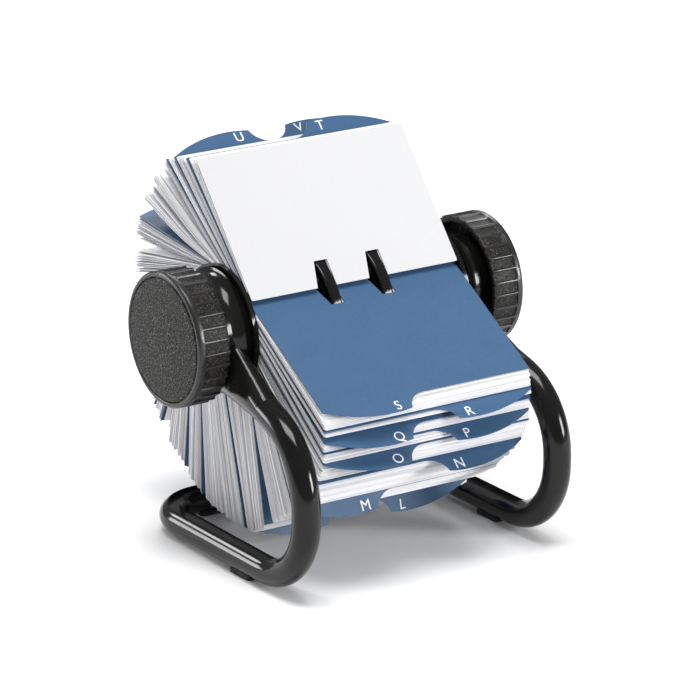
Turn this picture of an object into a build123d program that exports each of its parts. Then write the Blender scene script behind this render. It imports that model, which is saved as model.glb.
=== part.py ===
"""Rotary card file: a rotor of slotted cards and lettered guides on two T-section rings,
turned by two knobs and carried between two bent tube side frames.

X runs along the rotor axis to the right, -Y is the front, +Z is up. The origin is on the desk,
under the middle of the object. Lengths are in millimetres, angles in degrees.
A ring angle goes round the rotor axis from +Y towards +Z, and a card direction is the way a
card points away from the ring, measured the same way.
"""

import os
from math import cos, radians, sin

from build123d import *

os.makedirs("parts", exist_ok=True)

# ---- Driving dimensions ----------------------------------------------------------------

CARD_WIDTH = 101.6
CARD_HEIGHT = 65.0
CARD_CORNER = 0.8
SLOT_DEPTH = 11.8
SLOT_HALF = 3.2
SLOT_FLARE = 3.2
RING_SPACING = 25.4
RING_RADIUS = 28.6
CARD_SEAT = RING_RADIUS + 0.4
GUIDE_THICKNESS = 0.4
CARD_THICKNESS = 0.3
TAB_STEP_WIDTH = 9.5
TAB_STEP_START = 1.8
TAB_CORNER_HEIGHT = 6.8
TAB_ARC_MIDDLE = 6.8
TAB_HOLLOW = (3.4, 1.9)

AXIS_HEIGHT = 95.0
AXIS_Y = 2.2
FOOT_PAD_HEIGHT = 1.0

TUBE_RADIUS = 5.9
FRAME_X = 62.0
FRAME_FRONT = -77.9
FRAME_REAR = 38.0
FLOOR_RUN = FOOT_PAD_HEIGHT + TUBE_RADIUS - AXIS_HEIGHT
SEAM_X = 30.0
REAR_BEND = 20.0
FRONT_BEND = 30.0
KNEE_BEND = 32.8
LEG_ROOT = (57.4, -12.0, -10.3)
KNEE_HEIGHT = -30.6
ROOT_LENGTH = 36.0
ROOT_HALF_WIDTH = 13.0
GROOVE_START = -52.0
GROOVE_WIDTH = 5.0
GROOVE_DEPTH = 2.6
SPIGOT_RADIUS = 3.2
SPIGOT_LENGTH = 14.0
SCREW_SHANK = 1.2
SCREW_HEAD = 2.3
SCREW_HEAD_HEIGHT = 1.4
SCREW_LENGTH = 6.5
SCREW_INSET = 7.0
SCREW_HOLE_LENGTH = 9.0
COUNTERBORE_GAP = 0.3
COUNTERBORE_RADIUS = SCREW_HEAD + 0.2

HUB_INNER = 51.3
HUB_OUTER = 67.0
HUB_WAIST = 22.0
HUB_FLANGE = 27.3
HUB_BORE = 6.0
HUB_WAIST_X = 60.5
FLANGE_THICKNESS = 2.0
FLANGE_GROOVE_WIDTH = 1.4
FLANGE_GROOVE_DEPTH = 3.0
TRUMPET_STEP = 1.2

AXLE_RADIUS = 4.0
AXLE_END = 74.4
RUNNING_GAP = 0.05
SNUG_GAP = 0.02

KNOB_RADIUS = 28.4
KNOB_INNER = 65.5
KNOB_OUTER = 80.2
KNOB_WALL = 2.8
KNOB_WEB = 2.0
FACE_RADIUS = 26.0
FACE_OUTER = 80.4
GRIP_PANELS = 32

# ---- How the cards stand in the fan ----------------------------------------------------

# Ring angle of each guide's seat, from the S guide at the front round under the rotor and up
# the back to the T guide behind the front card. The gap where the file is read is between them.
GUIDE_SEATS = {
    "s": -202, "r": -189, "q": -183.5, "p": -177, "o": -167, "n": -156.5, "m": -147, "l": -128,
    "k": -91, "j": -53, "i": -32.5, "h": -12, "g": -5, "f": 2, "e": 9, "d": 16,
    "c": 22, "b": 28, "a": 34, "xyz": 40, "w": 62.5, "v": 86, "u": 95, "t": 108,
}
FRONT_CARD_SEAT = 117.5
FRONT_CARD_LIFT = 0.3
FRONT_CARD_GAP = 1.5

# Lean of a card from its own radius: the cards at the front lie forward, those at the top and
# back lie backward, and those under the rotor hang nearly straight down.
LEAN = [
    (-202, 52.4), (-189, 42), (-183.5, 38.5), (-177, 34.2), (-167, 23), (-156.5, 18.5),
    (-147, 29), (-128, 27), (-91, -14), (-53, -36.5), (-32.5, -50.5), (-12, -54),
    (10, -58), (40, -60), (50, -63), (57, -55.5), (62.5, -56.5), (65.5, -50.5), (86, -48.5),
    (95, -54.3), (108, -62.5), (117.5, -67.4),
]

# How far a card hangs out from the ring: the cards on top rest on it, the ones below drop by
# the play of their slots.
HANG = [
    (-202, 0), (-189, 1.2), (-177, 1.8), (-156.5, 2.3), (-128, 2.4), (-53, 2.2), (-12, 1.6),
    (10, 0.6), (40, 0), (117.5, 0),
]


def read_off(table, ring_angle):
    """Value at one place on the ring, between the places given in a table."""
    for (low, first), (high, second) in zip(table, table[1:]):
        if low <= ring_angle <= high:
            return first + (second - first) * (ring_angle - low) / (high - low)
    raise ValueError("the ring angle is outside the fan")


def card_direction(ring_angle):
    """The way the card seated at this ring angle points, as an angle."""
    return ring_angle + read_off(LEAN, ring_angle)


def seat_radius(ring_angle):
    """Distance of a card's slot ends from the rotor axis."""
    return CARD_SEAT + read_off(HANG, ring_angle)


def polar(radius, angle):
    """A point of the YZ plane, measured from the rotor axis."""
    return radius * cos(radians(angle)), radius * sin(radians(angle))


def axis_plane(x):
    """The plane across the rotor axis at x: its own x is +Y, its own y is +Z."""
    return Plane(origin=(x, AXIS_Y, AXIS_HEIGHT), x_dir=(0, 1, 0), z_dir=(1, 0, 0))


def radial_plane(side):
    """The plane through the rotor axis: its own x runs outward along the axis, its own y up."""
    return Plane(origin=(0, AXIS_Y, AXIS_HEIGHT), x_dir=(side, 0, 0), z_dir=(0, -side, 0))


def card_plane(ring_angle, lift=0.0):
    """The plane of a card: its own x is +X, its own y points away from the ring."""
    direction = card_direction(ring_angle)
    y, z = polar(seat_radius(ring_angle) + lift, ring_angle)
    normal = (0, -sin(radians(direction)), cos(radians(direction)))
    return Plane(origin=(0, AXIS_Y + y, AXIS_HEIGHT + z), x_dir=(1, 0, 0), z_dir=normal)


UPWARD = (Align.CENTER, Align.CENTER, Align.MIN)
DOWNWARD = (Align.CENTER, Align.CENTER, Align.MAX)
ROTOR_AXIS = Axis((0, AXIS_Y, AXIS_HEIGHT), (1, 0, 0))


def save(piece, name):
    """Label one sub-part and write it as its own STEP file."""
    piece.part.label = name
    export_step(piece.part, f"parts/{name}.step")


# ---- Side frames -----------------------------------------------------------------------


def frame_point(side, x, y, z):
    """A point of a side frame from its place beside the rotor axis."""
    return (side * x, AXIS_Y + y, AXIS_HEIGHT + z)


def screw_place(side):
    """Underside of the cross tube's counterbore, on the axis of one frame screw."""
    x = side * (SEAM_X - SCREW_INSET)
    return (x, AXIS_Y + FRAME_REAR, FOOT_PAD_HEIGHT + SCREW_HEAD_HEIGHT + COUNTERBORE_GAP)


def side_frame(side, name):
    """Hub, front leg, foot and rear corner, moulded in one."""
    leg_root = frame_point(side, *LEG_ROOT)
    leg_knee = frame_point(side, FRAME_X, FRAME_FRONT, KNEE_HEIGHT)
    front_bend = frame_point(side, FRAME_X, FRAME_FRONT, FLOOR_RUN)
    rear_corner = frame_point(side, FRAME_X, FRAME_REAR, FLOOR_RUN)
    seam = frame_point(side, SEAM_X, FRAME_REAR, FLOOR_RUN)
    groove_start = frame_point(side, FRAME_X, GROOVE_START, FLOOR_RUN)
    with BuildLine() as route:
        FilletPolyline(
            leg_root, leg_knee, front_bend, rear_corner, seam, radius=[KNEE_BEND, FRONT_BEND, REAR_BEND]
        )
    with BuildLine() as groove_route:
        FilletPolyline(groove_start, rear_corner, seam, radius=REAR_BEND)
    start = route.line @ 0
    heading = route.line % 0
    with BuildPart() as frame:
        with BuildSketch(Plane(origin=start, z_dir=heading)):
            Circle(TUBE_RADIUS)
        sweep(path=route.line)
        # the root of the leg widens into the hub
        root_plane = Plane(origin=start, x_dir=(1, 0, 0), z_dir=heading)
        with BuildSketch(root_plane.offset(1)):
            Ellipse(TUBE_RADIUS, ROOT_HALF_WIDTH)
        with BuildSketch(root_plane.offset(ROOT_LENGTH)):
            Circle(TUBE_RADIUS)
        loft()
        # hub: a thin flange beside the cards, a groove, and a trumpet down to the waist
        with BuildSketch(radial_plane(side)):
            with BuildLine():
                flange_x = HUB_INNER + FLANGE_THICKNESS
                groove_radius = HUB_FLANGE - FLANGE_GROOVE_DEPTH
                trumpet_x = flange_x + FLANGE_GROOVE_WIDTH
                trumpet_radius = HUB_FLANGE - TRUMPET_STEP
                Polyline(
                    (HUB_WAIST_X, HUB_WAIST),
                    (HUB_OUTER, HUB_WAIST),
                    (HUB_OUTER, HUB_BORE),
                    (HUB_INNER, HUB_BORE),
                    (HUB_INNER, HUB_FLANGE),
                    (flange_x, HUB_FLANGE),
                    (flange_x, groove_radius),
                    (trumpet_x, groove_radius),
                    (trumpet_x, trumpet_radius),
                )
                TangentArc((HUB_WAIST_X, HUB_WAIST), (trumpet_x, trumpet_radius), tangent=(-1, 0))
            make_face()
        revolve(axis=ROTOR_AXIS)
        # open channel along the top of the foot and round the rear corner
        top = Plane(origin=groove_start, x_dir=(-1, 0, 0), z_dir=(0, 1, 0))
        with BuildSketch(top):
            with Locations((0, TUBE_RADIUS)):
                Rectangle(GROOVE_WIDTH, 2 * GROOVE_DEPTH)
        sweep(path=groove_route.line, mode=Mode.SUBTRACT)
        with Locations(Pos(*groove_start) * Pos(0, 0, TUBE_RADIUS)):
            Cylinder(GROOVE_WIDTH / 2, 2 * GROOVE_DEPTH, mode=Mode.SUBTRACT)
        # spigot that enters the cross tube
        with BuildSketch(Plane(origin=seam, z_dir=(-side, 0, 0))):
            Circle(SPIGOT_RADIUS)
        extrude(amount=SPIGOT_LENGTH)
        with Locations(Pos(*screw_place(side))):
            Cylinder(SCREW_SHANK + SNUG_GAP, SCREW_HOLE_LENGTH, align=UPWARD, mode=Mode.SUBTRACT)
    save(frame, name)


side_frame(-1, "left_side_frame")
side_frame(1, "right_side_frame")

tube_centre = Plane(
    origin=(0, AXIS_Y + FRAME_REAR, AXIS_HEIGHT + FLOOR_RUN), x_dir=(0, 1, 0), z_dir=(1, 0, 0)
)

with BuildPart() as rear_cross_tube:
    with BuildSketch(tube_centre.offset(-SEAM_X)):
        Circle(TUBE_RADIUS)
    extrude(amount=2 * SEAM_X)
    with BuildSketch(tube_centre.offset(-SEAM_X)):
        with Locations((0, TUBE_RADIUS)):
            Rectangle(GROOVE_WIDTH, 2 * GROOVE_DEPTH)
    extrude(amount=2 * SEAM_X, mode=Mode.SUBTRACT)
    for end in (-1, 1):
        with BuildSketch(tube_centre.offset(end * SEAM_X)):
            Circle(SPIGOT_RADIUS + SNUG_GAP)
        extrude(amount=-end * (SPIGOT_LENGTH + 0.5), mode=Mode.SUBTRACT)
        with Locations(Pos(*screw_place(end))):
            Cylinder(SCREW_SHANK + SNUG_GAP, TUBE_RADIUS, align=UPWARD, mode=Mode.SUBTRACT)
            Cylinder(COUNTERBORE_RADIUS, TUBE_RADIUS, align=DOWNWARD, mode=Mode.SUBTRACT)
save(rear_cross_tube, "rear_cross_tube")

with BuildPart() as frame_screws:
    for end in (-1, 1):
        with Locations(Pos(*screw_place(end))):
            Cylinder(SCREW_HEAD, SCREW_HEAD_HEIGHT, align=DOWNWARD)
            Cylinder(SCREW_SHANK, SCREW_LENGTH, align=UPWARD)
save(frame_screws, "frame_screws")


# ---- Rubber foot pads ------------------------------------------------------------------

PAD_WIDTH = 8.0
PAD_HOLD = 1.4
PAD_CORNER = 2.0
FRONT_PAD_LENGTH = 15.0
FRONT_PAD_Y = -33.0
REAR_PAD_LENGTH = 10.0
REAR_PAD_X = 36.0


def foot_pad(place, size, tube_turn, name):
    """Rubber pad glued along the underside of the tube, its top hollowed to fit."""
    x, y = place
    with BuildPart() as pad:
        with BuildSketch(Plane(origin=(x, AXIS_Y + y, 0))):
            RectangleRounded(*size, PAD_CORNER)
        extrude(amount=FOOT_PAD_HEIGHT + PAD_HOLD)
        with Locations((x, AXIS_Y + y, AXIS_HEIGHT + FLOOR_RUN)):
            Cylinder(TUBE_RADIUS + SNUG_GAP, 2 * max(size), rotation=tube_turn, mode=Mode.SUBTRACT)
    save(pad, name)


for side, side_name in ((-1, "left"), (1, "right")):
    front_place = (side * FRAME_X, FRONT_PAD_Y)
    front_size = (PAD_WIDTH, FRONT_PAD_LENGTH)
    foot_pad(front_place, front_size, (90, 0, 0), f"front_{side_name}_foot_pad")
    rear_place = (side * REAR_PAD_X, FRAME_REAR)
    rear_size = (REAR_PAD_LENGTH, PAD_WIDTH)
    foot_pad(rear_place, rear_size, (0, 90, 0), f"rear_{side_name}_foot_pad")


# ---- Bushes, axle and rotor core -------------------------------------------------------


def revolved(side, outline, name):
    """A turned piece: a closed outline of (distance along the axis, radius) points."""
    with BuildPart() as piece:
        with BuildSketch(radial_plane(side)):
            with BuildLine():
                Polyline(*outline, close=True)
            make_face()
        revolve(axis=ROTOR_AXIS)
    save(piece, name)


BUSH_FLANGE = 9.0
BUSH_LIP = 0.8
CORE_END = HUB_INNER - BUSH_LIP - 0.2
CORE_RADIUS = 8.5
DRUM_RADIUS = 12.0
RING_COLLAR = 2.3

for side, side_name in ((-1, "left"), (1, "right")):
    bush_bore = AXLE_RADIUS + RUNNING_GAP
    bush_outside = HUB_BORE - SNUG_GAP
    revolved(
        side,
        [
            (HUB_OUTER, bush_bore),
            (HUB_OUTER, bush_outside),
            (HUB_INNER, bush_outside),
            (HUB_INNER, BUSH_FLANGE),
            (HUB_INNER - BUSH_LIP, BUSH_FLANGE),
            (HUB_INNER - BUSH_LIP, bush_bore),
        ],
        f"{side_name}_axle_bush",
    )

KNOB_SCREW_RADIUS = 2.0
KNOB_SCREW_LENGTH = 14.0

with BuildPart() as axle:
    with BuildSketch(axis_plane(-AXLE_END)):
        Circle(AXLE_RADIUS)
    extrude(amount=2 * AXLE_END)
    for end in (-1, 1):
        with BuildSketch(axis_plane(end * AXLE_END)):
            Circle(KNOB_SCREW_RADIUS + SNUG_GAP)
        extrude(amount=-end * (KNOB_SCREW_LENGTH + 0.5), mode=Mode.SUBTRACT)
save(axle, "axle")

drum_end = RING_SPACING / 2 - RING_COLLAR
revolved(
    1,
    [
        (-CORE_END, AXLE_RADIUS + SNUG_GAP),
        (-CORE_END, CORE_RADIUS),
        (-drum_end, CORE_RADIUS),
        (-drum_end, DRUM_RADIUS),
        (drum_end, DRUM_RADIUS),
        (drum_end, CORE_RADIUS),
        (CORE_END, CORE_RADIUS),
        (CORE_END, AXLE_RADIUS + SNUG_GAP),
    ],
    "rotor_core",
)


# ---- Card rings ------------------------------------------------------------------------

RIM_WIDTH = 5.0
RIM_DEPTH = 1.8
WEB_HALF = 1.0
COLLAR_RADIUS = 12.8
RIDGE_RADIUS = 22.5


def card_ring(side, name):
    """T-section ring: a rim that the card slots hook over, on a thin web and a collar."""
    rim_half = RIM_WIDTH / 2
    ridge_half = WEB_HALF + 0.5
    half = [
        (RING_COLLAR, CORE_RADIUS + SNUG_GAP),
        (RING_COLLAR, COLLAR_RADIUS),
        (WEB_HALF, COLLAR_RADIUS + 1.0),
        (WEB_HALF, RIDGE_RADIUS - 0.5),
        (ridge_half, RIDGE_RADIUS - 0.3),
        (ridge_half, RIDGE_RADIUS + 0.3),
        (WEB_HALF, RIDGE_RADIUS + 0.5),
        (WEB_HALF, RING_RADIUS - RIM_DEPTH),
        (rim_half, RING_RADIUS - RIM_DEPTH + 0.5),
        (rim_half, RING_RADIUS - 0.5),
        (rim_half - 0.5, RING_RADIUS),
    ]
    middle = side * RING_SPACING / 2
    outline = [(middle + along, radius) for along, radius in half]
    outline += [(middle - along, radius) for along, radius in reversed(half)]
    revolved(1, outline, name)


card_ring(-1, "left_card_ring")
card_ring(1, "right_card_ring")


# ---- Knobs -----------------------------------------------------------------------------

BOSS_RADIUS = 9.0
BOSS_END = HUB_OUTER + 0.9
FACE_SEAT = AXLE_END + KNOB_WEB
HEAD_RADIUS = 3.8
HEAD_HEIGHT = 2.0


def knob(side, name):
    """Hollow knob with a grip of shallow panels, a seat for the face disc and a central boss."""
    cup_radius = KNOB_RADIUS - KNOB_WALL
    panel_depth = 0.7
    panel_length = 11.6
    panel_width = 4.2
    with BuildPart() as body:
        with BuildSketch(radial_plane(side)):
            with BuildLine():
                Polyline(
                    (KNOB_INNER, cup_radius),
                    (KNOB_INNER, KNOB_RADIUS),
                    (KNOB_OUTER - 0.9, KNOB_RADIUS),
                    (KNOB_OUTER, KNOB_RADIUS - 0.9),
                    (KNOB_OUTER, FACE_RADIUS + 0.3),
                    (FACE_SEAT, FACE_RADIUS + 0.3),
                    (FACE_SEAT, KNOB_SCREW_RADIUS + 0.1),
                    (AXLE_END, KNOB_SCREW_RADIUS + 0.1),
                    (AXLE_END, AXLE_RADIUS + SNUG_GAP),
                    (BOSS_END, AXLE_RADIUS + SNUG_GAP),
                    (BOSS_END, BOSS_RADIUS),
                    (AXLE_END, BOSS_RADIUS),
                    (AXLE_END, cup_radius),
                    close=True,
                )
            make_face()
        revolve(axis=ROTOR_AXIS)
        with BuildSketch(axis_plane(side * (KNOB_INNER - 1.0))):
            with PolarLocations(KNOB_RADIUS, GRIP_PANELS):
                Rectangle(2 * panel_depth, panel_width)
        extrude(amount=side * (panel_length + 1.0), mode=Mode.SUBTRACT)
    save(body, name)


def knob_face(side, name):
    """Face disc with a low dome and a skirt that snaps into the knob and hides its screw."""
    skirt_inner = FACE_RADIUS - 1.8
    inner_face = FACE_SEAT + HEAD_HEIGHT + 0.2
    edge = FACE_RADIUS - 0.7
    with BuildPart() as disc:
        with BuildSketch(radial_plane(side)):
            with BuildLine():
                ThreePointArc((FACE_OUTER + 0.5, 0), (FACE_OUTER + 0.375, edge / 2), (FACE_OUTER, edge))
                Polyline(
                    (FACE_OUTER, edge),
                    (FACE_OUTER - 0.7, FACE_RADIUS),
                    (FACE_SEAT, FACE_RADIUS),
                    (FACE_SEAT, skirt_inner),
                    (inner_face, skirt_inner),
                    (inner_face, 0),
                    (FACE_OUTER + 0.5, 0),
                )
            make_face()
        revolve(axis=ROTOR_AXIS)
    save(disc, name)


for side, side_name in ((-1, "left"), (1, "right")):
    knob(side, f"{side_name}_knob")
    knob_face(side, f"{side_name}_knob_face")
    revolved(
        side,
        [
            (FACE_SEAT - KNOB_SCREW_LENGTH, 0),
            (FACE_SEAT - KNOB_SCREW_LENGTH, KNOB_SCREW_RADIUS),
            (FACE_SEAT, KNOB_SCREW_RADIUS),
            (FACE_SEAT, HEAD_RADIUS),
            (FACE_SEAT + HEAD_HEIGHT, HEAD_RADIUS - 0.5),
            (FACE_SEAT + HEAD_HEIGHT, 0),
        ],
        f"{side_name}_knob_screw",
    )
    revolved(
        side,
        [
            (HUB_OUTER + 0.05, AXLE_RADIUS + 0.3),
            (HUB_OUTER + 0.05, BOSS_RADIUS - 0.5),
            (BOSS_END, BOSS_RADIUS - 0.5),
            (BOSS_END, AXLE_RADIUS + 0.3),
        ],
        f"{side_name}_friction_washer",
    )


# ---- Guides, card packs and the front card ---------------------------------------------


def slot_outline(ring):
    """Outline of the slot that hooks over one ring, cut in from a card's inner edge."""
    middle = ring * RING_SPACING / 2
    mouth = -SLOT_DEPTH - 1.0
    return [
        (middle - SLOT_HALF - SLOT_FLARE, mouth),
        (middle - SLOT_HALF, 0),
        (middle + SLOT_HALF, 0),
        (middle + SLOT_HALF, mouth),
    ]


def guide(letter, tab_side):
    """Lettered guide: a card with a half-width tab that swells from one corner."""
    half = CARD_WIDTH / 2
    top = CARD_HEIGHT - SLOT_DEPTH
    tip = tab_side * (TAB_STEP_START + TAB_STEP_WIDTH)
    foot = tab_side * TAB_STEP_START
    corner = tab_side * half
    with BuildPart() as piece:
        with BuildSketch(card_plane(GUIDE_SEATS[letter])):
            with BuildLine():
                outer = ThreePointArc(
                    (corner, top),
                    ((corner + tip) / 2, top + TAB_ARC_MIDDLE),
                    (tip, top + TAB_CORNER_HEIGHT),
                )
                inner = ThreePointArc(
                    outer @ 1, (tip - tab_side * TAB_HOLLOW[0], top + TAB_HOLLOW[1]), (foot, top)
                )
                Polyline(
                    inner @ 1,
                    (-corner, top),
                    (-corner, -SLOT_DEPTH),
                    (corner, -SLOT_DEPTH),
                    (corner, top),
                )
            make_face()
            for ring in (-1, 1):
                Polygon(*slot_outline(ring), align=None, mode=Mode.SUBTRACT)
        extrude(amount=GUIDE_THICKNESS / 2, both=True)
    save(piece, f"guide_{letter}")


for index, letter in enumerate(GUIDE_SEATS):
    guide(letter, -1 if index % 2 == 0 else 1)

with BuildPart() as front_card:
    with BuildSketch(card_plane(FRONT_CARD_SEAT, FRONT_CARD_LIFT)):
        with Locations((0, CARD_HEIGHT / 2 - SLOT_DEPTH)):
            RectangleRounded(CARD_WIDTH, CARD_HEIGHT, CARD_CORNER)
        for ring in (-1, 1):
            Polygon(*slot_outline(ring), align=None, mode=Mode.SUBTRACT)
    extrude(amount=CARD_THICKNESS / 2, both=True)
save(front_card, "front_card")

PACK_MARGIN = 0.4
PACK_INNER_EDGE = -4.5
PACK_RING_GAP = 0.3
PACK_SLOT_GAP = 0.6


def pack_corner(ring_angle, along, offset):
    """A corner of a pack: this far along the card at ring_angle, and this far to its side."""
    direction = card_direction(ring_angle)
    seat_y, seat_z = polar(seat_radius(ring_angle), ring_angle)
    along_y, along_z = polar(along, direction)
    side_y, side_z = polar(offset, direction + 90)
    return (seat_y + along_y + side_y, seat_z + along_z + side_z)


def pack_outline(low, high):
    """Side view of the cards between two ring angles."""
    top = CARD_HEIGHT - SLOT_DEPTH
    return [
        pack_corner(low, PACK_INNER_EDGE, PACK_MARGIN),
        pack_corner(low, top, PACK_MARGIN),
        pack_corner(high, top, -PACK_MARGIN),
        pack_corner(high, PACK_INNER_EDGE, -PACK_MARGIN),
    ]


seats = list(GUIDE_SEATS.items()) + [("front", FRONT_CARD_SEAT - FRONT_CARD_GAP)]
for index in range(0, len(seats) - 1, 2):
    (first_name, low), (_, middle), (last_name, high) = seats[index : index + 3]
    with BuildPart() as pack:
        for start, stop in ((low, middle), (middle, high)):
            with BuildSketch(axis_plane(-CARD_WIDTH / 2)):
                Polygon(*pack_outline(start, stop), align=None)
            extrude(amount=CARD_WIDTH)
        for ring in (-1, 1):
            with BuildSketch(axis_plane(ring * RING_SPACING / 2)):
                Circle(CARD_SEAT + PACK_RING_GAP)
            extrude(amount=SLOT_HALF + PACK_SLOT_GAP, both=True, mode=Mode.SUBTRACT)
    save(pack, f"cards_{first_name}_to_{last_name}")
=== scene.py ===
"""Looks of the rotary card file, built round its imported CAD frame.

Everything is in metres in the CAD's own frame: +X along the rotor axis to the right, -Y the front,
+Z up. Places come from the CAD nodes. The CAD's solid wedges of cards are shown as separate sheets,
its knobs and rings as finer mouldings, and its tabs get their index letters.
"""

import math
import random

import bpy
import numpy as np
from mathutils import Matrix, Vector


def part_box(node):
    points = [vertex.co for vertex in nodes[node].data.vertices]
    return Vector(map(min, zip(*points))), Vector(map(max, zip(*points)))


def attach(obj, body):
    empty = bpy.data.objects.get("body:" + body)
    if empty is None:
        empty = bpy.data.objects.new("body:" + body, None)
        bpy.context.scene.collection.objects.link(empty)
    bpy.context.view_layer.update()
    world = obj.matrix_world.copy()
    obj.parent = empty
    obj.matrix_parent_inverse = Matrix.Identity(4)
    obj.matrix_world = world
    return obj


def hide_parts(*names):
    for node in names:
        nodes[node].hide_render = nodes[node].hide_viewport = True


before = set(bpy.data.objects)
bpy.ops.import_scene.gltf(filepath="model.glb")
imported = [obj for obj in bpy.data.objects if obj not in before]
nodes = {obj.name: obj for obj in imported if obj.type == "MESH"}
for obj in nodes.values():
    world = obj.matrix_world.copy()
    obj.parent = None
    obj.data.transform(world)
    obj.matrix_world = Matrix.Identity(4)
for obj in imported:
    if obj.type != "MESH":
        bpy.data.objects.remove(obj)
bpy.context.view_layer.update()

MM = 0.001

# ---- Places read from the frame --------------------------------------------------------

axle_low, axle_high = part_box("axle")
AXIS_Y = (axle_low.y + axle_high.y) / 2
AXIS_Z = (axle_low.z + axle_high.z) / 2
AXIS = np.array([AXIS_Y, AXIS_Z])

LETTERS = list("srqponmlkjihgfedcba") + ["xyz", "w", "v", "u", "t"]
LEAVES = [f"guide_{letter}" for letter in LETTERS] + ["front_card"]

# ---- Sizes of what the frame leaves out ------------------------------------------------

CARD_HEIGHT = 65.0 * MM
SLOT_DEPTH = 11.8 * MM
SLOT_HALF = 3.2 * MM
SLOT_FLARE = 3.0 * MM
CARD_CORNER = 0.8 * MM
SHEET_THICKNESS = 0.19 * MM
SHEET_PITCH = 0.28 * MM
FRONT_PITCH = 1.4 * SHEET_PITCH
GUIDE_CLEARANCE = 0.36 * MM
LETTER_HEIGHT = 4.4 * MM
LETTER_BEYOND_CARD = 4.3 * MM
LETTER_OUT = 17.0 * MM
LETTER_SPACING = 1.08
INK_COAT = 0.03 * MM


# ---- Materials -------------------------------------------------------------------------


def new_material(name, colour, roughness, specular=0.5):
    """A material, its node tree and its shader, with the values that are even all over."""
    material = bpy.data.materials.new(name)
    material.use_nodes = True
    shader = material.node_tree.nodes["Principled BSDF"]
    shader.inputs["Base Color"].default_value = (*colour, 1)
    shader.inputs["Roughness"].default_value = roughness
    shader.inputs["Specular IOR Level"].default_value = specular
    return material, material.node_tree, shader


def noise(tree, scale, detail=2.0, roughness=0.5, stretch=(1, 1, 1)):
    """A noise pattern fixed to the object, its scale in features per metre."""
    place = tree.nodes.new("ShaderNodeTexCoord")
    mapping = tree.nodes.new("ShaderNodeMapping")
    mapping.inputs["Scale"].default_value = stretch
    texture = tree.nodes.new("ShaderNodeTexNoise")
    texture.inputs["Scale"].default_value = scale
    texture.inputs["Detail"].default_value = detail
    texture.inputs["Roughness"].default_value = roughness
    tree.links.new(place.outputs["Object"], mapping.inputs["Vector"])
    tree.links.new(mapping.outputs["Vector"], texture.inputs["Vector"])
    return texture.outputs["Fac"]


def spread(tree, value, low, high, start=0.3, end=0.7):
    """Map a pattern's start..end to low..high."""
    node = tree.nodes.new("ShaderNodeMapRange")
    node.inputs["From Min"].default_value = start
    node.inputs["From Max"].default_value = end
    node.inputs["To Min"].default_value = low
    node.inputs["To Max"].default_value = high
    tree.links.new(value, node.inputs["Value"])
    return node.outputs["Result"]


def colours(tree, value, stops):
    """Turn a pattern into colours: stops are (position, colour)."""
    node = tree.nodes.new("ShaderNodeValToRGB")
    ramp = node.color_ramp
    while len(ramp.elements) < len(stops):
        ramp.elements.new(0.5)
    for element, (position, colour) in zip(ramp.elements, stops):
        element.position = position
        element.color = (*colour, 1)
    tree.links.new(value, node.inputs["Fac"])
    return node.outputs["Color"]


def side_facing(tree):
    """1 on faces turned to the object's left or right, 0 on the rest."""
    place = tree.nodes.new("ShaderNodeTexCoord")
    parts = tree.nodes.new("ShaderNodeSeparateXYZ")
    size = tree.nodes.new("ShaderNodeMath")
    size.operation = "ABSOLUTE"
    tree.links.new(place.outputs["Normal"], parts.inputs["Vector"])
    tree.links.new(parts.outputs["X"], size.inputs[0])
    return spread(tree, size.outputs["Value"], 0.0, 1.0, start=0.6, end=0.8)


def mixed(tree, share, first, second):
    """The first colour where the share is 0, the second where it is 1."""
    node = tree.nodes.new("ShaderNodeMix")
    node.data_type = "RGBA"
    tree.links.new(share, node.inputs["Factor"])
    for socket, colour in zip(node.inputs[6:8], (first, second)):
        tree.links.new(colour, socket)
    return node.outputs[2]


def bump(tree, shader, value, distance, strength=1.0, under=None):
    """Relief from a pattern, over another relief if one is given."""
    node = tree.nodes.new("ShaderNodeBump")
    node.inputs["Distance"].default_value = distance
    node.inputs["Strength"].default_value = strength
    tree.links.new(value, node.inputs["Height"])
    if under is not None:
        tree.links.new(under, node.inputs["Normal"])
    tree.links.new(node.outputs["Normal"], shader.inputs["Normal"])
    return node.outputs["Normal"]


def gloss_black(name, roughness=(0.1, 0.18)):
    """Polished black moulding with slight ripple and handling haze."""
    material, tree, shader = new_material(name, (0.005, 0.005, 0.0045), 0.12, specular=0.32)
    haze = noise(tree, 55, detail=4, roughness=0.6)
    tree.links.new(spread(tree, haze, *roughness), shader.inputs["Roughness"])
    tint = noise(tree, 30, detail=2)
    shades = [(0.35, (0.0036, 0.0036, 0.0034)), (0.7, (0.0078, 0.0076, 0.0068))]
    tree.links.new(colours(tree, tint, shades), shader.inputs["Base Color"])
    ripple = bump(tree, shader, noise(tree, 140, detail=1), 0.02 * MM, 0.5)
    bump(tree, shader, noise(tree, 2600, detail=2), 0.004 * MM, 0.5, under=ripple)
    return material


def satin_black():
    """Smooth but duller plastic of the knob's ring and ribs."""
    material, tree, shader = new_material("satin_black", (0.014, 0.0135, 0.0125), 0.3, specular=0.5)
    tree.links.new(
        spread(tree, noise(tree, 220, detail=4), 0.24, 0.38), shader.inputs["Roughness"]
    )
    shades = [(0.35, (0.0115, 0.011, 0.0105)), (0.7, (0.0175, 0.0165, 0.0155))]
    tree.links.new(colours(tree, noise(tree, 60, detail=3), shades), shader.inputs["Base Color"])
    bump(tree, shader, noise(tree, 1500, detail=2), 0.006 * MM, 0.6)
    return material


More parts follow.
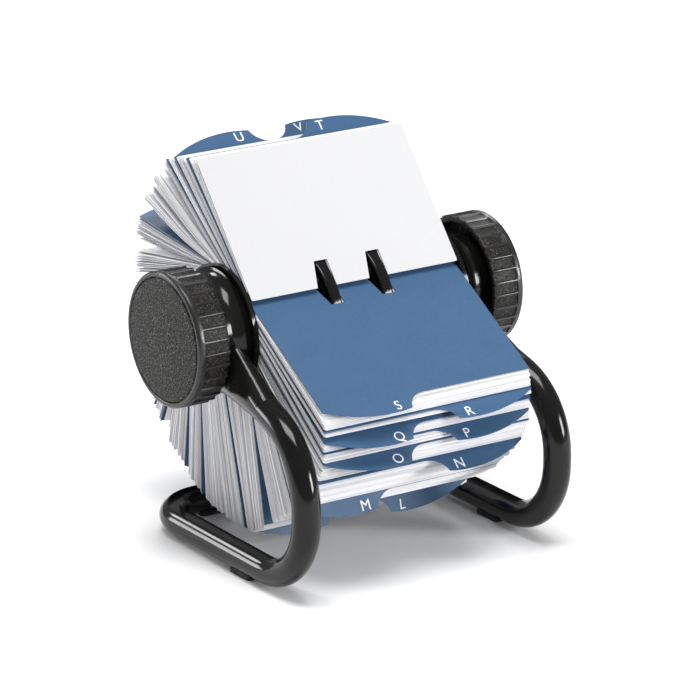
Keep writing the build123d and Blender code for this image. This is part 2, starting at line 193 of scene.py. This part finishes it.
def grained_black(name, grain, depth, specular, grain_and_glint):
    """Spark-eroded plastic: a sharp pebble grain, its highest pebbles coloured pale as a painted
    glint.
    """
    material, tree, shader = new_material(name, grain_and_glint[0][1], 0.42, specular)
    pebbles = noise(tree, grain, detail=2.0, roughness=0.5)
    tree.links.new(colours(tree, pebbles, grain_and_glint), shader.inputs["Base Color"])
    tree.links.new(
        spread(tree, noise(tree, grain * 0.7, detail=2), 0.3, 0.52), shader.inputs["Roughness"]
    )
    bump(tree, shader, pebbles, depth, 1.0)
    return material


def blue_sheet():
    """Index guide: board with a coated, faintly mottled blue surface and a grey core that
    shows where its ends are cut."""
    material, tree, shader = new_material("blue_sheet", (0.05, 0.11, 0.21), 0.45, specular=0.3)
    mottle = noise(tree, 500, detail=6, roughness=0.7)
    coat = colours(tree, mottle, [(0.3, (0.04, 0.097, 0.193)), (0.7, (0.047, 0.11, 0.213))])
    core = colours(tree, mottle, [(0.3, (0.1, 0.11, 0.13)), (0.7, (0.26, 0.27, 0.3))])
    tree.links.new(mixed(tree, side_facing(tree), coat, core), shader.inputs["Base Color"])
    tree.links.new(spread(tree, noise(tree, 90, detail=3), 0.38, 0.5), shader.inputs["Roughness"])
    bump(tree, shader, noise(tree, 2500, detail=3), 0.008 * MM, 0.5)
    return material


def card_paper(name, shades, by_sheet=True):
    """Uncoated index card: fibres in the surface, each sheet a slightly different white."""
    material, tree, shader = new_material(name, shades[1], 0.78, specular=0.25)
    fibres = noise(tree, 1400, detail=5, roughness=0.7, stretch=(0.35, 1, 1))
    tone = fibres
    if by_sheet:
        both = tree.nodes.new("ShaderNodeMath")
        both.operation = "MULTIPLY_ADD"
        both.inputs[1].default_value = 0.35
        tree.links.new(fibres, both.inputs[0])
        sheet = tree.nodes.new("ShaderNodeNewGeometry").outputs["Random Per Island"]
        tree.links.new(sheet, both.inputs[2])
        tone = both.outputs["Value"]
    tree.links.new(
        colours(tree, tone, [(0.1, shades[0]), (1.0, shades[1])]), shader.inputs["Base Color"]
    )
    tree.links.new(spread(tree, fibres, 0.7, 0.86), shader.inputs["Roughness"])
    bump(tree, shader, fibres, 0.02 * MM, 0.5)
    return material


def letter_ink():
    """White ink of the index letters, a little uneven at the edges of its coat."""
    material, tree, shader = new_material("letter_ink", (0.86, 0.88, 0.9), 0.5, specular=0.4)
    shades = [(0.25, (0.76, 0.8, 0.84)), (0.55, (0.9, 0.91, 0.92))]
    tree.links.new(
        colours(tree, noise(tree, 2200, detail=3), shades), shader.inputs["Base Color"]
    )
    bump(tree, shader, noise(tree, 3000, detail=2), 0.01 * MM, 0.5)
    return material


def pad_rubber():
    """Soft foot pad, matt and slightly dusty."""
    material, tree, shader = new_material("pad_rubber", (0.02, 0.02, 0.02), 0.75, specular=0.3)
    shades = [(0.35, (0.014, 0.014, 0.014)), (0.75, (0.045, 0.044, 0.042))]
    tree.links.new(
        colours(tree, noise(tree, 300, detail=5, roughness=0.65), shades),
        shader.inputs["Base Color"],
    )
    bump(tree, shader, noise(tree, 1200, detail=4), 0.05 * MM, 0.7)
    return material


def zinc_steel():
    """Zinc-plated steel with fine turning marks along the part."""
    material, tree, shader = new_material("zinc_steel", (0.62, 0.63, 0.64), 0.3)
    shader.inputs["Metallic"].default_value = 1.0
    marks = noise(tree, 900, detail=3, stretch=(6, 1, 1))
    tree.links.new(spread(tree, marks, 0.22, 0.4), shader.inputs["Roughness"])
    shades = [(0.3, (0.5, 0.51, 0.53)), (0.7, (0.68, 0.68, 0.68))]
    tree.links.new(colours(tree, noise(tree, 160, detail=4), shades), shader.inputs["Base Color"])
    bump(tree, shader, marks, 0.01 * MM, 0.5)
    return material


def bush_nylon():
    """Natural nylon of the axle bushes."""
    material, tree, shader = new_material("bush_nylon", (0.6, 0.57, 0.48), 0.4)
    shades = [(0.3, (0.52, 0.49, 0.4)), (0.7, (0.66, 0.63, 0.54))]
    tree.links.new(colours(tree, noise(tree, 250, detail=4), shades), shader.inputs["Base Color"])
    tree.links.new(spread(tree, noise(tree, 400, detail=3), 0.32, 0.5), shader.inputs["Roughness"])
    bump(tree, shader, noise(tree, 1500, detail=2), 0.01 * MM, 0.6)
    return material


def core_plastic():
    """Plain moulded plastic of the rotor core, duller than what shows."""
    material, tree, shader = new_material("core_plastic", (0.02, 0.02, 0.021), 0.5)
    shades = [(0.3, (0.015, 0.015, 0.016)), (0.7, (0.03, 0.03, 0.031))]
    tree.links.new(colours(tree, noise(tree, 200, detail=4), shades), shader.inputs["Base Color"])
    bump(tree, shader, noise(tree, 1600, detail=3), 0.02 * MM, 0.7)
    return material


def pale_floor():
    """Matt white studio table."""
    material, tree, shader = new_material("pale_floor", (0.95, 0.95, 0.95), 0.9, specular=0.1)
    shades = [(0.3, (0.94, 0.94, 0.94)), (0.7, (0.96, 0.96, 0.96))]
    tree.links.new(colours(tree, noise(tree, 40, detail=3), shades), shader.inputs["Base Color"])
    return material


# knob grain colours, low to high; the last, pale stop is a painted glint on the pebble tops
PANEL_GRAIN_AND_GLINT = [
    (0.42, (0.0015, 0.0013, 0.0011)), (0.58, (0.017, 0.0155, 0.014)), (0.7, (0.12, 0.115, 0.108))
]
FACE_GRAIN_AND_GLINT = [
    (0.42, (0.0012, 0.0011, 0.001)), (0.56, (0.018, 0.0165, 0.0145)), (0.7, (0.17, 0.163, 0.153))
]
frame_gloss = gloss_black("frame_gloss")
ring_gloss = gloss_black("ring_gloss", (0.06, 0.12))
knob_satin = satin_black()
panel_grain_painted_glint = grained_black("panel_grain_painted_glint", 1900, 0.2 * MM, 0.22, PANEL_GRAIN_AND_GLINT)
face_grain_painted_glint = grained_black("face_grain_painted_glint", 1600, 0.2 * MM, 0.14, FACE_GRAIN_AND_GLINT)
guide_blue = blue_sheet()
front_paper = card_paper("front_paper", [(0.54, 0.54, 0.547), (0.58, 0.58, 0.585)], by_sheet=False)
sheet_paper = card_paper("sheet_paper", [(0.7, 0.7, 0.74), (0.93, 0.93, 0.94)])
# papers for the sheets' ends: white, a grey painted half shade for some bunches, and a near-black
# painted shade for the sheets that part the bunches
EDGE_PAPERS = [
    card_paper("edge_bright", [(0.72, 0.72, 0.75), (0.96, 0.96, 0.97)]),
    card_paper("edge_painted_half_shade", [(0.36, 0.36, 0.4), (0.7, 0.7, 0.74)]),
    card_paper("edge_painted_shade", [(0.02, 0.02, 0.025), (0.12, 0.12, 0.14)]),
]
ink = letter_ink()


def dress(names, material):
    """Give CAD nodes a better material in every slot."""
    for name in names:
        slots = nodes[name].data.materials
        for i in range(len(slots)):
            slots[i] = material


SIDES = ("left", "right")
dress([f"{side}_side_frame" for side in SIDES] + ["rear_cross_tube"], frame_gloss)
dress([f"{end}_{side}_foot_pad" for end in ("front", "rear") for side in SIDES], pad_rubber())
dress([f"{side}_knob_face" for side in SIDES], face_grain_painted_glint)
dress([f"{side}_axle_bush" for side in SIDES], bush_nylon())
dress(["rotor_core"], core_plastic())
dress(LEAVES[:-1], guide_blue)
dress(["front_card"], front_paper)
dress(
    ["axle", "frame_screws"] + [f"{side}_knob_screw" for side in SIDES]
    + [f"{side}_friction_washer" for side in SIDES],
    zinc_steel(),
)


# ---- Mesh helpers ----------------------------------------------------------------------


def make_piece(name, points, faces, materials, body, smooth_angle=None):
    """A mesh piece that rides on a body. Faces are (material index, corner indices)."""
    mesh = bpy.data.meshes.new(name)
    mesh.from_pydata(points, [], [corners for _, corners in faces])
    for material in materials:
        mesh.materials.append(material)
    mesh.polygons.foreach_set("material_index", [index for index, _ in faces])
    mesh.update()
    if smooth_angle is not None:
        mesh.polygons.foreach_set("use_smooth", [True] * len(faces))
        mesh.set_sharp_from_angle(angle=math.radians(smooth_angle))
    piece = bpy.data.objects.new(name, mesh)
    bpy.context.scene.collection.objects.link(piece)
    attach(piece, body)
    return piece


def turned(name, side, angles, rows, radius_at, materials, material_at, body):
    """A turned moulding: rows of (distance out along the axis, radius) closed into a ring.
    radius_at and material_at may change with the angle, for a grip."""
    columns, count = len(angles), len(rows)
    points = []
    for along, radius in rows:
        for angle in angles:
            r = radius_at(along, radius, angle)
            points.append(
                (side * along, AXIS_Y + r * math.cos(angle), AXIS_Z + r * math.sin(angle))
            )
    faces = []
    for i in range(count):
        for j in range(columns):
            corners = [
                i * columns + j,
                i * columns + (j + 1) % columns,
                (i + 1) % count * columns + (j + 1) % columns,
                (i + 1) % count * columns + j,
            ]
            if side < 0:
                corners.reverse()
            faces.append((material_at(i, j), corners))
    return make_piece(name, points, faces, materials, body, smooth_angle=38)


# ---- Knobs -----------------------------------------------------------------------------

GRIP_PANELS = 32
PANEL_LENGTH = 11.6 * MM
PANEL_DEPTH = 0.7 * MM
PANEL_FLATNESS = 0.8
KNOB_WALL = 2.8 * MM
KNOB_BOSS = 9.0 * MM
AXLE_GAP = 0.02 * MM
SCREW_HOLE = 2.1 * MM
FACE_GAP = 0.15 * MM
# a rib's section: (millimetres from its middle, share of the panel's depth)
RIB_TOP = [(-0.72, 1.0), (-0.6, 0.55), (-0.42, 0.12), (-0.16, 0.0),
           (0.16, 0.0), (0.42, 0.12), (0.6, 0.55), (0.72, 1.0)]


def knob_piece(side, side_name):
    """Knob with a grip of grained panels between rounded ribs, closed by a smooth outer ring."""
    low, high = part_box(f"{side_name}_knob")
    inner, outer = sorted((abs(low.x), abs(high.x)))
    radius = (high.z - low.z) / 2
    face_low, face_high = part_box(f"{side_name}_knob_face")
    face_radius = (face_high.z - face_low.z) / 2
    face_seat = min(abs(face_low.x), abs(face_high.x))
    washer_low, washer_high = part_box(f"{side_name}_friction_washer")
    boss_end = max(abs(washer_low.x), abs(washer_high.x))
    web = axle_high.x
    cup = radius - KNOB_WALL
    bore = (axle_high.z - axle_low.z) / 2 + AXLE_GAP
    panel_end = inner + PANEL_LENGTH
    pitch = 2 * math.pi / GRIP_PANELS
    rib = RIB_TOP[-1][0] * MM / radius

    # angles over each rib and the panel after it, with how deep the grip is cut there
    angles, depths, is_panel = [], [], []
    for k in range(GRIP_PANELS):
        for across, depth in RIB_TOP:
            angles.append(k * pitch + across * MM / radius)
            depths.append(depth)
            is_panel.append(False)
        is_panel[-1] = True
        for share in (0.25, 0.5, 0.75):
            angles.append(k * pitch + rib + share * (pitch - 2 * rib))
            depths.append(1.0)
            is_panel.append(True)
    depth_of = dict(zip(angles, depths))

    def grip_radius(along, r, angle):
        depth = depth_of[angle] * cut_at.get((along, r), 0.0)
        from_middle = (angle % pitch) - pitch / 2
        return r - depth * (PANEL_DEPTH - r * (1 - math.cos(from_middle)) * PANEL_FLATNESS)

    # the section, from the grip's inner edge outward: (along, radius, share of the grip's cut)
    grip = [
        (inner, radius - 0.4 * MM, 1), (inner + 0.12 * MM, radius - 0.14 * MM, 1),
        (inner + 0.4 * MM, radius, 1), (inner + 4 * MM, radius, 1), (inner + 8 * MM, radius, 1),
        (panel_end - 0.35 * MM, radius, 1), (panel_end - 0.15 * MM, radius, 0.85),
        (panel_end, radius, 0.45), (panel_end + 0.12 * MM, radius, 0.12),
    ]
    outer_ring = [
        (panel_end + 0.35 * MM, radius, 0), (outer - 1.1 * MM, radius, 0),
        (outer - 0.75 * MM, radius - 0.1 * MM, 0), (outer - 0.3 * MM, radius - 0.45 * MM, 0),
        (outer, radius - 0.95 * MM, 0), (outer, face_radius + 0.5 * MM, 0),
        (outer - 0.15 * MM, face_radius + 0.22 * MM, 0),
        (outer - 0.5 * MM, face_radius + FACE_GAP, 0),
    ]
    web_and_boss = [
        (face_seat, face_radius + FACE_GAP, 0), (face_seat, SCREW_HOLE, 0), (web, SCREW_HOLE, 0),
        (web, bore, 0), (boss_end, bore, 0), (boss_end, KNOB_BOSS - 0.4 * MM, 0),
        (boss_end + 0.4 * MM, KNOB_BOSS, 0), (web - 1.0 * MM, KNOB_BOSS, 0),
        (web - 0.3 * MM, KNOB_BOSS + 0.3 * MM, 0), (web, KNOB_BOSS + 1.0 * MM, 0),
    ]
    hollow = [
        (web, cup - 1.0 * MM, 0), (web - 0.3 * MM, cup - 0.3 * MM, 0), (web - 1.0 * MM, cup, 0),
        (inner + 0.3 * MM, cup, 0), (inner, cup + 0.3 * MM, 0),
    ]
    rows = grip + outer_ring + web_and_boss + hollow
    cut_at = {(along, r): cut for along, r, cut in rows}
    last_panel_row = sum(cut == 1 for _, _, cut in grip) - 1

    def material_at(i, j):
        return 1 if 1 <= i < last_panel_row and is_panel[j] else 0

    piece = turned(
        f"{side_name}_grip_knob", side, angles, [row[:2] for row in rows], grip_radius,
        [knob_satin, panel_grain_painted_glint], material_at, "rotor",
    )
    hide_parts(f"{side_name}_knob")


knob_piece(-1, "left")
knob_piece(1, "right")


# ---- Card rings ------------------------------------------------------------------------


def arc(centre, radius, start, end, count):
    """Points of an arc, in the order of its angles in degrees."""
    steps = [math.radians(start + (end - start) * i / (count - 1)) for i in range(count)]
    return [(centre[0] + radius * math.cos(a), centre[1] + radius * math.sin(a)) for a in steps]


# the ring's section, in millimetres
COLLAR_HALF, COLLAR_BORE, COLLAR_RADIUS = 2.3, 8.52, 12.8
WEB_HALF, RIDGE_RADIUS, RIDGE_HALF = 1.0, 22.5, 0.5
RIM_HALF, RIM_ROUND = 2.5, 0.8
RING_COLUMNS = 144


def ring_piece(side_name):
    """T-section ring with a rounded rim, a thin web with a ridge, and a collar."""
    low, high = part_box(f"{side_name}_card_ring")
    middle = (low.x + high.x) / 2 / MM
    rim = (high.z - low.z) / 2 / MM
    half = [(COLLAR_HALF, COLLAR_BORE), (COLLAR_HALF, COLLAR_RADIUS - 0.3)]
    half += [(COLLAR_HALF - 0.3, COLLAR_RADIUS), (WEB_HALF + 0.2, 13.6), (WEB_HALF, 14.2)]
    half += arc((WEB_HALF, RIDGE_RADIUS), RIDGE_HALF, -90, 90, 7)
    half += [(WEB_HALF, rim - 2.6), (WEB_HALF + 0.15, rim - 2.1), (RIM_HALF - 0.35, rim - 1.65)]
    half += arc((RIM_HALF - RIM_ROUND, rim - RIM_ROUND), RIM_ROUND, -20, 90, 8)
    half += [(0.5, rim)]
    rows = [(middle + x, r) for x, r in half]
    rows += [(middle - x, r) for x, r in reversed(half)]
    rows = [(x * MM, r * MM) for x, r in rows]
    angles = [2 * math.pi * i / RING_COLUMNS for i in range(RING_COLUMNS)]
    piece = turned(
        f"{side_name}_turned_ring", 1, angles, rows,
        lambda along, r, angle: r, [ring_gloss], lambda i, j: 0, "rotor",
    )
    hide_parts(f"{side_name}_card_ring")


ring_piece("left")
ring_piece("right")


# ---- Where each leaf lies --------------------------------------------------------------


class Leaf:
    """The line of a guide or card seen along the rotor axis, and its place round the ring."""

    def __init__(self, name):
        points = np.array([v.co[:] for v in nodes[name].data.vertices])
        side_view = np.unique(np.round(points[:, 1:], 6), axis=0)
        centre = side_view.mean(0)
        direction = np.linalg.svd(side_view - centre)[2][0]
        if direction @ (centre - AXIS) < 0:
            direction = -direction
        normal = np.array([-direction[1], direction[0]])
        along = (side_view - centre) @ direction
        across = (side_view - centre) @ normal
        middle = centre + normal * (across.min() + across.max()) / 2
        self.half_thickness = (across.max() - across.min()) / 2
        self.inner = middle + direction * along.min()
        self.direction = direction
        self.seat = self.inner + direction * SLOT_DEPTH
        from_axis = self.seat - AXIS
        self.seat_radius = np.linalg.norm(from_axis)
        self.seat_angle = math.atan2(from_axis[1], from_axis[0])
        self.heading = math.atan2(direction[1], direction[0])
        self.high_x = points[:, 0].max()


leaves = {name: Leaf(name) for name in LEAVES}


def turn_after(angle, previous):
    """The same angle, written as the next one after previous, going round the ring."""
    while angle < previous - math.pi:
        angle += 2 * math.pi
    while angle > previous + math.pi:
        angle -= 2 * math.pi
    return angle


for earlier, later in zip(LEAVES, LEAVES[1:]):
    a, b = leaves[earlier], leaves[later]
    b.seat_angle = turn_after(b.seat_angle, a.seat_angle)
    b.heading = turn_after(b.heading, a.heading)


def between(a, b, share, height):
    """A point of the sheet at a share of the way from leaf a to leaf b, height up its line."""
    seat = a.seat_angle + (b.seat_angle - a.seat_angle) * share
    heading = a.heading + (b.heading - a.heading) * share
    radius = a.seat_radius + (b.seat_radius - a.seat_radius) * share
    rise = height - SLOT_DEPTH
    return (
        AXIS_Y + radius * math.cos(seat) + rise * math.cos(heading),
        AXIS_Z + radius * math.sin(seat) + rise * math.sin(heading),
    )


# ---- White cards, as separate sheets ---------------------------------------------------

ring_low, ring_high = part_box("right_card_ring")
SLOT_X = (ring_low.x + ring_high.x) / 2
CARD_HALF = leaves["front_card"].high_x
BENDING_HEIGHTS = (18, 26, 34, 42, 50, 58)
# the sheets next to the two leaves that turn over start this far up, clear of their hinges
INNER_START = {"guide_s": 7.4 * MM, "guide_t": 3.0 * MM}
# a card's rounded corner: (share of its radius up, share cut off the side)
CORNER_STEPS = [(0.0, 1.0), (0.29, 0.293), (1.0, 0.0)]

# how evenly the sheets lie: ranges in millimetres, chances and shares
GAP_CHANCE = 0.12
GAP_SIZE = 5.0
SEAT_JITTER = 0.2
PITCH_JITTER = 0.3
RIGHT_LIKE_LEFT = 0.55
WIDEST_MARGIN = 0.3
BUNCH_SHEETS = (5, 13)
BUNCH_SLIDE = (-0.4, 1.0)
SHEET_SLIDE = (-0.25, 0.35)
SIDE_SHIFT = 0.22
NEAT_SHARE = 0.25

# the last sheets of each bunch lie deeper, and their ends get near-black paper as painted shade, so
# that a dark line parts the bunches
RECESSED_SHEETS = 3
RECESS_SLIDE = 1.2 * MM
RECESS_WIDTH = 0.972
RECESS_PAINTED_SHADE = 2


def sheet_outline():
    """Rows of a slotted card: (height, the six places across where its lands end)."""
    rows = []
    for up, cut in CORNER_STEPS:
        rows.append((up * CARD_CORNER, CARD_HALF - cut * CARD_CORNER))
    rows.append((SLOT_DEPTH, CARD_HALF))
    for height in BENDING_HEIGHTS:
        rows.append((height * MM, CARD_HALF))
    for up, cut in reversed(CORNER_STEPS):
        rows.append((CARD_HEIGHT - up * CARD_CORNER, CARD_HALF - cut * CARD_CORNER))
    outline = []
    for height, half_width in rows:
        share = min(1.0, height / SLOT_DEPTH)
        flare = SLOT_FLARE * (1 - share)
        places = [-half_width]
        for middle in (-SLOT_X, SLOT_X):
            places += [middle - SLOT_HALF - flare, middle + SLOT_HALF]
        outline.append((height, places + [half_width]))
    return outline


OUTLINE = sheet_outline()
ACROSS = 6
SLOT_ROWS = 3


def sheet_faces():
    """Quads of one sheet: its two sides and the edge all round, with a gap at each slot.
    Each comes with whether it is part of the card's left or right end."""
    count = len(OUTLINE) * ACROSS
    quads = []
    for i in range(len(OUTLINE) - 1):
        for j in range(ACROSS - 1):
            if i < SLOT_ROWS and j in (1, 3):
                continue
            first = i * ACROSS + j
            quads.append((first, first + 1, first + ACROSS + 1, first + ACROSS))
    directed = {(q[k], q[(k + 1) % 4]) for q in quads for k in range(4)}
    walls = [
        (b, a, a + count, b + count) for a, b in directed if (b, a) not in directed
    ]
    backs = [tuple(c + count for c in reversed(q)) for q in quads]
    ends = (0, ACROSS - 1)
    return [(False, q) for q in quads + backs] + [
        (all(c % count % ACROSS in ends for c in wall), wall) for wall in sorted(walls)
    ]


SHEET_FACES = sheet_faces()
NEAT_LEAVES = [leaves[f"guide_{letter}"] for letter in "srqponvut"]
# guides whose face shows because the sheets beside them stand away, with the room in pitches
GAP_AFTER = {leaves["guide_w"]: 14.0}
GAP_BEFORE = {leaves[f"guide_{letter}"]: room for letter, room in zip("lkji", (12, 9, 10, 14))}


def uneven_steps(rng, count, gap_chance, first_gap, last_gap):
    """Rising shares between 0 and 1, bunched with a wider gap here and there."""
    widths = [1 + rng.uniform(-PITCH_JITTER, PITCH_JITTER) for _ in range(count + 1)]
    widths[0] += first_gap
    widths[-1] += last_gap
    for k in range(count + 1):
        if rng.random() < gap_chance:
            widths[k] += GAP_SIZE * rng.uniform(0.5, 1.0)
    total = sum(widths)
    steps, so_far = [], 0.0
    for width in widths[:-1]:
        so_far += width
        steps.append(so_far / total)
    return steps


def gaps_between(a, b):
    """How far apart two neighbouring leaves are, at each height of a sheet's outline."""
    heading = (a.heading + b.heading) / 2
    normal = np.array([-math.sin(heading), math.cos(heading)])
    gap_at = {}
    for height, _ in OUTLINE:
        start = np.array(between(a, b, 0, height))
        end = np.array(between(a, b, 1, height))
        gap_at[height] = abs((end - start) @ normal)
    return gap_at


def share_finder(seat, left_tip, right_tip, margin_at):
    """A function that gives a sheet's share of the way between its leaves, which eases from
    its seat in the slots to its tip, clear of both leaves by the margin at that height."""
    def share_at(height, lift, right):
        tip = left_tip + (right_tip - left_tip) * right
        bend = lift * lift * (3 - 2 * lift) * 0.5 + lift * 0.5
        margin = margin_at[height]
        return margin + (1 - 2 * margin) * (seat + (tip - seat) * bend)

    return share_at


def sheet_points(a, b, share_at, inner_start, slide, shift, width):
    """Points of one sheet's two sides, between leaf a and leaf b."""
    sides = [[], []]
    half = SHEET_THICKNESS / 2
    for height, places in OUTLINE:
        height_here = max(height, inner_start)
        lift = max(0.0, (height_here - SLOT_DEPTH) / (CARD_HEIGHT - SLOT_DEPTH))
        for x in places:
            share = share_at(height, lift, (x + CARD_HALF) / (2 * CARD_HALF))
            y, z = between(a, b, share, height_here + slide)
            heading = a.heading + (b.heading - a.heading) * share
            for side, sign in zip(sides, (1, -1)):
                side.append(
                    (
                        x * width + shift,
                        y - sign * half * math.sin(heading),
                        z + sign * half * math.cos(heading),
                    )
                )
    return sides[0] + sides[1]


def interval_sheets(rng, a, b, inner_start):
    """Points and faces of the sheets between two neighbouring leaves."""
    gap_at = gaps_between(a, b)
    before_front = b is leaves["front_card"]
    pitch = FRONT_PITCH if before_front else SHEET_PITCH
    gap_chance = 0.0 if before_front else GAP_CHANCE
    smaller_gap = min(gap_at[SLOT_DEPTH], gap_at[CARD_HEIGHT])
    count = max(2, int((smaller_gap - 2 * GUIDE_CLEARANCE) / pitch))
    margin_at = {
        height: min(WIDEST_MARGIN, GUIDE_CLEARANCE / max(gap, GUIDE_CLEARANCE))
        for height, gap in gap_at.items()
    }
    seats = [
        (k + 1) / (count + 1) + rng.uniform(-SEAT_JITTER, SEAT_JITTER) / (count + 1)
        for k in range(count)
    ]
    room = (GAP_AFTER.get(a, 0.0), GAP_BEFORE.get(b, 0.0))
    left_tips = uneven_steps(rng, count, gap_chance, *room)
    other_tips = uneven_steps(rng, count, gap_chance, *room)
    right_tips = [
        RIGHT_LIKE_LEFT * tip + (1 - RIGHT_LIKE_LEFT) * other
        for tip, other in zip(left_tips, other_tips)
    ]
    points, faces = [], []
    still_in_bunch = 0
    for seat, left_tip, right_tip in zip(seats, left_tips, right_tips):
        if still_in_bunch == 0:
            still_in_bunch = rng.randint(*BUNCH_SHEETS)
            bunch_slide = rng.uniform(*BUNCH_SLIDE) * MM
            # a third of the bunches get the grey painted half shade on their ends
            bunch_paper = rng.choice((0, 0, 1))
        still_in_bunch -= 1
        slide = bunch_slide + rng.uniform(*SHEET_SLIDE) * MM
        end_paper, width = bunch_paper, 1.0
        if still_in_bunch < RECESSED_SHEETS:
            slide -= RECESS_SLIDE
            end_paper, width = RECESS_PAINTED_SHADE, RECESS_WIDTH
        # by the neat leaves these sheets lie flush, but the near-black painted shade stays on their
        # ends
        if a in NEAT_LEAVES:
            slide *= NEAT_SHARE
            width = 1.0
        shift = rng.gauss(0.0, SIDE_SHIFT) * MM
        share_at = share_finder(seat, left_tip, right_tip, margin_at)
        first = len(points)
        points += sheet_points(a, b, share_at, inner_start, slide, shift, width)
        faces += [
            (1 + end_paper if at_end else 0, tuple(first + c for c in quad))
            for at_end, quad in SHEET_FACES
        ]
    return points, faces


def pack_of_sheets(first, rng):
    """The sheets of one CAD wedge: the two intervals that start at leaf number first."""
    names = LEAVES[first:first + 3]
    tags = [name.replace("guide_", "").replace("front_card", "front") for name in names]
    points, faces = [], []
    for a, b in zip(names, names[1:]):
        more, more_faces = interval_sheets(rng, leaves[a], leaves[b], INNER_START.get(a, 0.0))
        start = len(points)
        points += more
        faces += [(m, tuple(start + c for c in corners)) for m, corners in more_faces]
    piece = make_piece(
        f"sheets_{tags[0]}_to_{tags[2]}", points, faces, [sheet_paper, *EDGE_PAPERS],
        "rotor", smooth_angle=40,
    )
    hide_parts(f"cards_{tags[0]}_to_{tags[2]}")


SHEET_SEED = 41
sheet_rng = random.Random(SHEET_SEED)
for first in range(0, len(LEAVES) - 1, 2):
    pack_of_sheets(first, sheet_rng)


# ---- Index letters ---------------------------------------------------------------------


def letter_mesh(text):
    """A flat letter with a little body, as points and faces, centred on its own middle."""
    curve = bpy.data.curves.new("letter", "FONT")
    curve.body = text
    curve.size = 1.0
    curve.extrude = 0.5
    curve.align_x = "CENTER"
    curve.space_character = LETTER_SPACING
    shape = bpy.data.objects.new("letter", curve)
    bpy.context.scene.collection.objects.link(shape)
    bpy.context.view_layer.update()
    graph = bpy.context.evaluated_depsgraph_get()
    mesh = bpy.data.meshes.new_from_object(shape.evaluated_get(graph))
    points = np.array([v.co[:] for v in mesh.vertices])
    faces = [tuple(p.vertices) for p in mesh.polygons]
    bpy.data.meshes.remove(mesh)
    bpy.data.objects.remove(shape)
    bpy.data.curves.remove(curve)
    return points, faces


CAPITAL = np.ptp(letter_mesh("H")[0][:, 1])


def tab_letter(name, letter):
    """The guide's letter on both faces of its tab."""
    leaf = leaves[name]
    side = tab_side(name)
    shape, shape_faces = letter_mesh(letter.upper())
    size = LETTER_HEIGHT / CAPITAL
    flat = (shape[:, :2] - [0, CAPITAL / 2]) * size
    depth = shape[:, 2] / np.ptp(shape[:, 2]) * INK_COAT
    along_x = np.array([1.0, 0.0, 0.0])
    outward = np.array([0.0, *leaf.direction])
    centre = np.array(
        [side * LETTER_OUT, *(leaf.inner + leaf.direction * (CARD_HEIGHT + LETTER_BEYOND_CARD))]
    )
    points, faces = [], []
    for up in (outward, -outward):
        facing = np.cross(along_x, up)
        start = len(points)
        for (right, rise), proud in zip(flat, depth):
            lift = leaf.half_thickness + proud + INK_COAT / 4
            points.append(tuple(centre + along_x * right + up * rise + facing * lift))
        faces += [(0, tuple(start + c for c in corners)) for corners in shape_faces]
    body = "s_guide" if name == "guide_s" else "rotor"
    make_piece(f"letter_{letter}", points, faces, [ink], body)


def tab_side(name):
    """-1 if the guide's tab is on the left, 1 if it is on the right."""
    leaf = leaves[name]
    points = np.array([v.co[:] for v in nodes[name].data.vertices])
    height = (points[:, 1:] - leaf.inner) @ leaf.direction
    return 1 if points[height > height.max() - 0.5 * MM, 0].mean() > 0 else -1


for letter in LETTERS:
    tab_letter(f"guide_{letter}", letter)


# ---- Studio ----------------------------------------------------------------------------

FLOOR_HALF = 6.0
CAMERA_FOCAL = 227.9
CAMERA_BACK = (-0.5288, -0.7895, 0.3117)
CAMERA_FROM_AXIS = (-0.9693, -1.4638, 0.5571)


def floor_piece():
    """Large pale table top under the feet."""
    corners = [(-1, -1, 0), (1, -1, 0), (1, 1, 0), (-1, 1, 0)]
    mesh = bpy.data.meshes.new("floor")
    mesh.from_pydata(
        [tuple(FLOOR_HALF * c for c in corner) for corner in corners], [], [(0, 1, 2, 3)]
    )
    mesh.materials.append(pale_floor())
    floor = bpy.data.objects.new("floor", mesh)
    bpy.context.scene.collection.objects.link(floor)


def soft_light(name, direction, distance, size, power):
    """A softbox that faces the rotor axis from a direction."""
    light = bpy.data.lights.new(name, "AREA")
    light.shape = "RECTANGLE"
    light.size, light.size_y = size
    light.energy = power
    lamp = bpy.data.objects.new(name, light)
    towards = Vector(direction).normalized()
    lamp.location = Vector((0, AXIS_Y, AXIS_Z)) + towards * distance
    lamp.rotation_mode = "QUATERNION"
    lamp.rotation_quaternion = (-towards).to_track_quat("-Z", "Y")
    bpy.context.scene.collection.objects.link(lamp)


def camera():
    """Camera at the photograph's viewing angle, with its long lens."""
    data = bpy.data.cameras.new("camera")
    data.sensor_width = 36.0
    data.lens = CAMERA_FOCAL
    data.clip_start, data.clip_end = 0.05, 30.0
    eye = bpy.data.objects.new("camera", data)
    eye.location = Vector((0, AXIS_Y, AXIS_Z)) + Vector(CAMERA_FROM_AXIS)
    eye.rotation_mode = "QUATERNION"
    eye.rotation_quaternion = (-Vector(CAMERA_BACK)).to_track_quat("-Z", "Y")
    bpy.context.scene.collection.objects.link(eye)
    bpy.context.scene.camera = eye


def studio_world():
    """Even, faintly cool light from all round."""
    world = bpy.data.worlds.new("studio")
    world.use_nodes = True
    background = world.node_tree.nodes["Background"]
    background.inputs["Color"].default_value = (0.96, 0.97, 1.0, 1)
    background.inputs["Strength"].default_value = 0.3
    bpy.context.scene.world = world


floor_piece()
camera()
soft_light("key_light", (0.54, -0.8, 0.23), 1.6, (0.42, 0.5), 17)
soft_light("fill_light", (-0.64, 0.75, 0.16), 1.8, (0.5, 0.5), 9)
soft_light("top_light", (-0.1, -0.1, 1.0), 2.4, (1.6, 1.0), 56)
soft_light("back_left_light", (-0.38, 0.79, 0.48), 1.6, (0.35, 0.25), 4)
soft_light("back_right_light", (0.5, 0.6, 0.6), 1.6, (0.6, 0.4), 6)
studio_world()
bpy.context.scene.view_settings.view_transform = "Standard"
